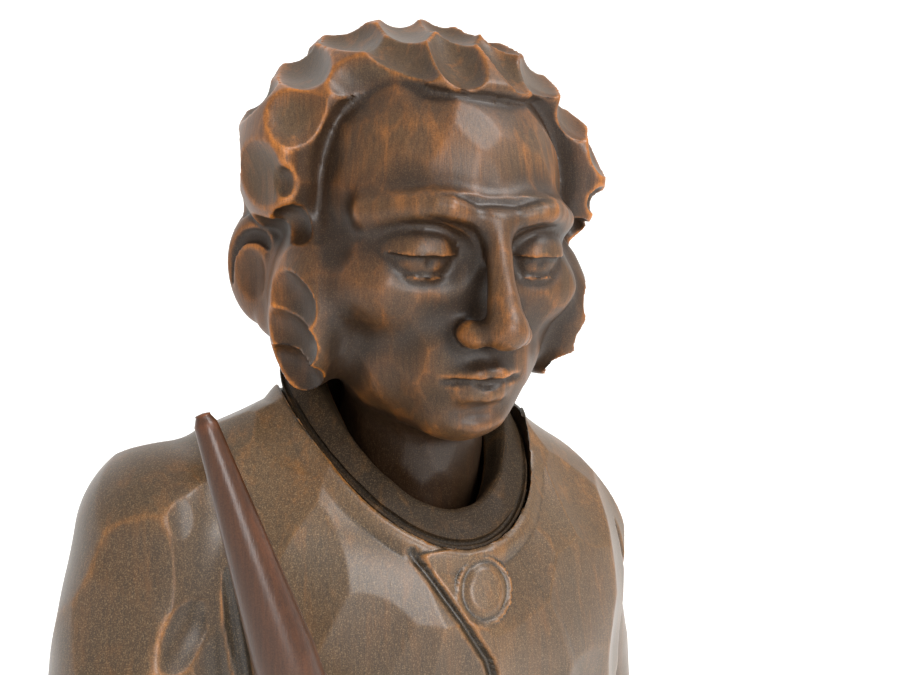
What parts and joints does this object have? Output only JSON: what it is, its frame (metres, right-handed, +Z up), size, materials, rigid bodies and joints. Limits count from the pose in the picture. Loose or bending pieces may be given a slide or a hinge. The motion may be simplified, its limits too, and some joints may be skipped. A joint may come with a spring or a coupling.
{
  "type": "carved wooden figurine",
  "caption": "Carved and stained wooden statuette of an elderly man in a long coat leaning on a lift-out tapered staff, on a plinth with a felt underside.",
  "frame": {"origin": "centre of the felt's underside, which the figurine stands on", "axes": "+Z up, the figure faces -Y, +X to the figure's left"},
  "size_m": [0.132, 0.12, 0.3243],
  "materials": {
    "coat_wood": "stained and waxed, tool marks left, worn edges",
    "head_wood": "warm stain, waxed, worn ridges",
    "staff_wood": "smooth, red-brown, satin varnish",
    "base_wood": "stained and waxed, tool marks left",
    "dowel_wood": "bare beech",
    "felt": "wool felt",
    "screw_steel": "zinc plated"
  },
  "bodies": {
    "figure": {"figure_body": "coat_wood", "head": "head_wood", "right_forearm": "coat_wood", "right_hand": "head_wood", "left_hand": "head_wood", "elbow_dowel": "dowel_wood", "base": "base_wood", "felt_pad": "felt", "base_screw_right": "screw_steel", "base_screw_left": "screw_steel"},
    "staff": {"staff": "staff_wood"}
  },
  "joints": [
    {"name": "staff_lift", "type": "slide", "parent": "figure", "child": "staff", "axis": [-0.2637, 0.1023, 0.9592], "range_m": [0, 0.15]}
  ]
}
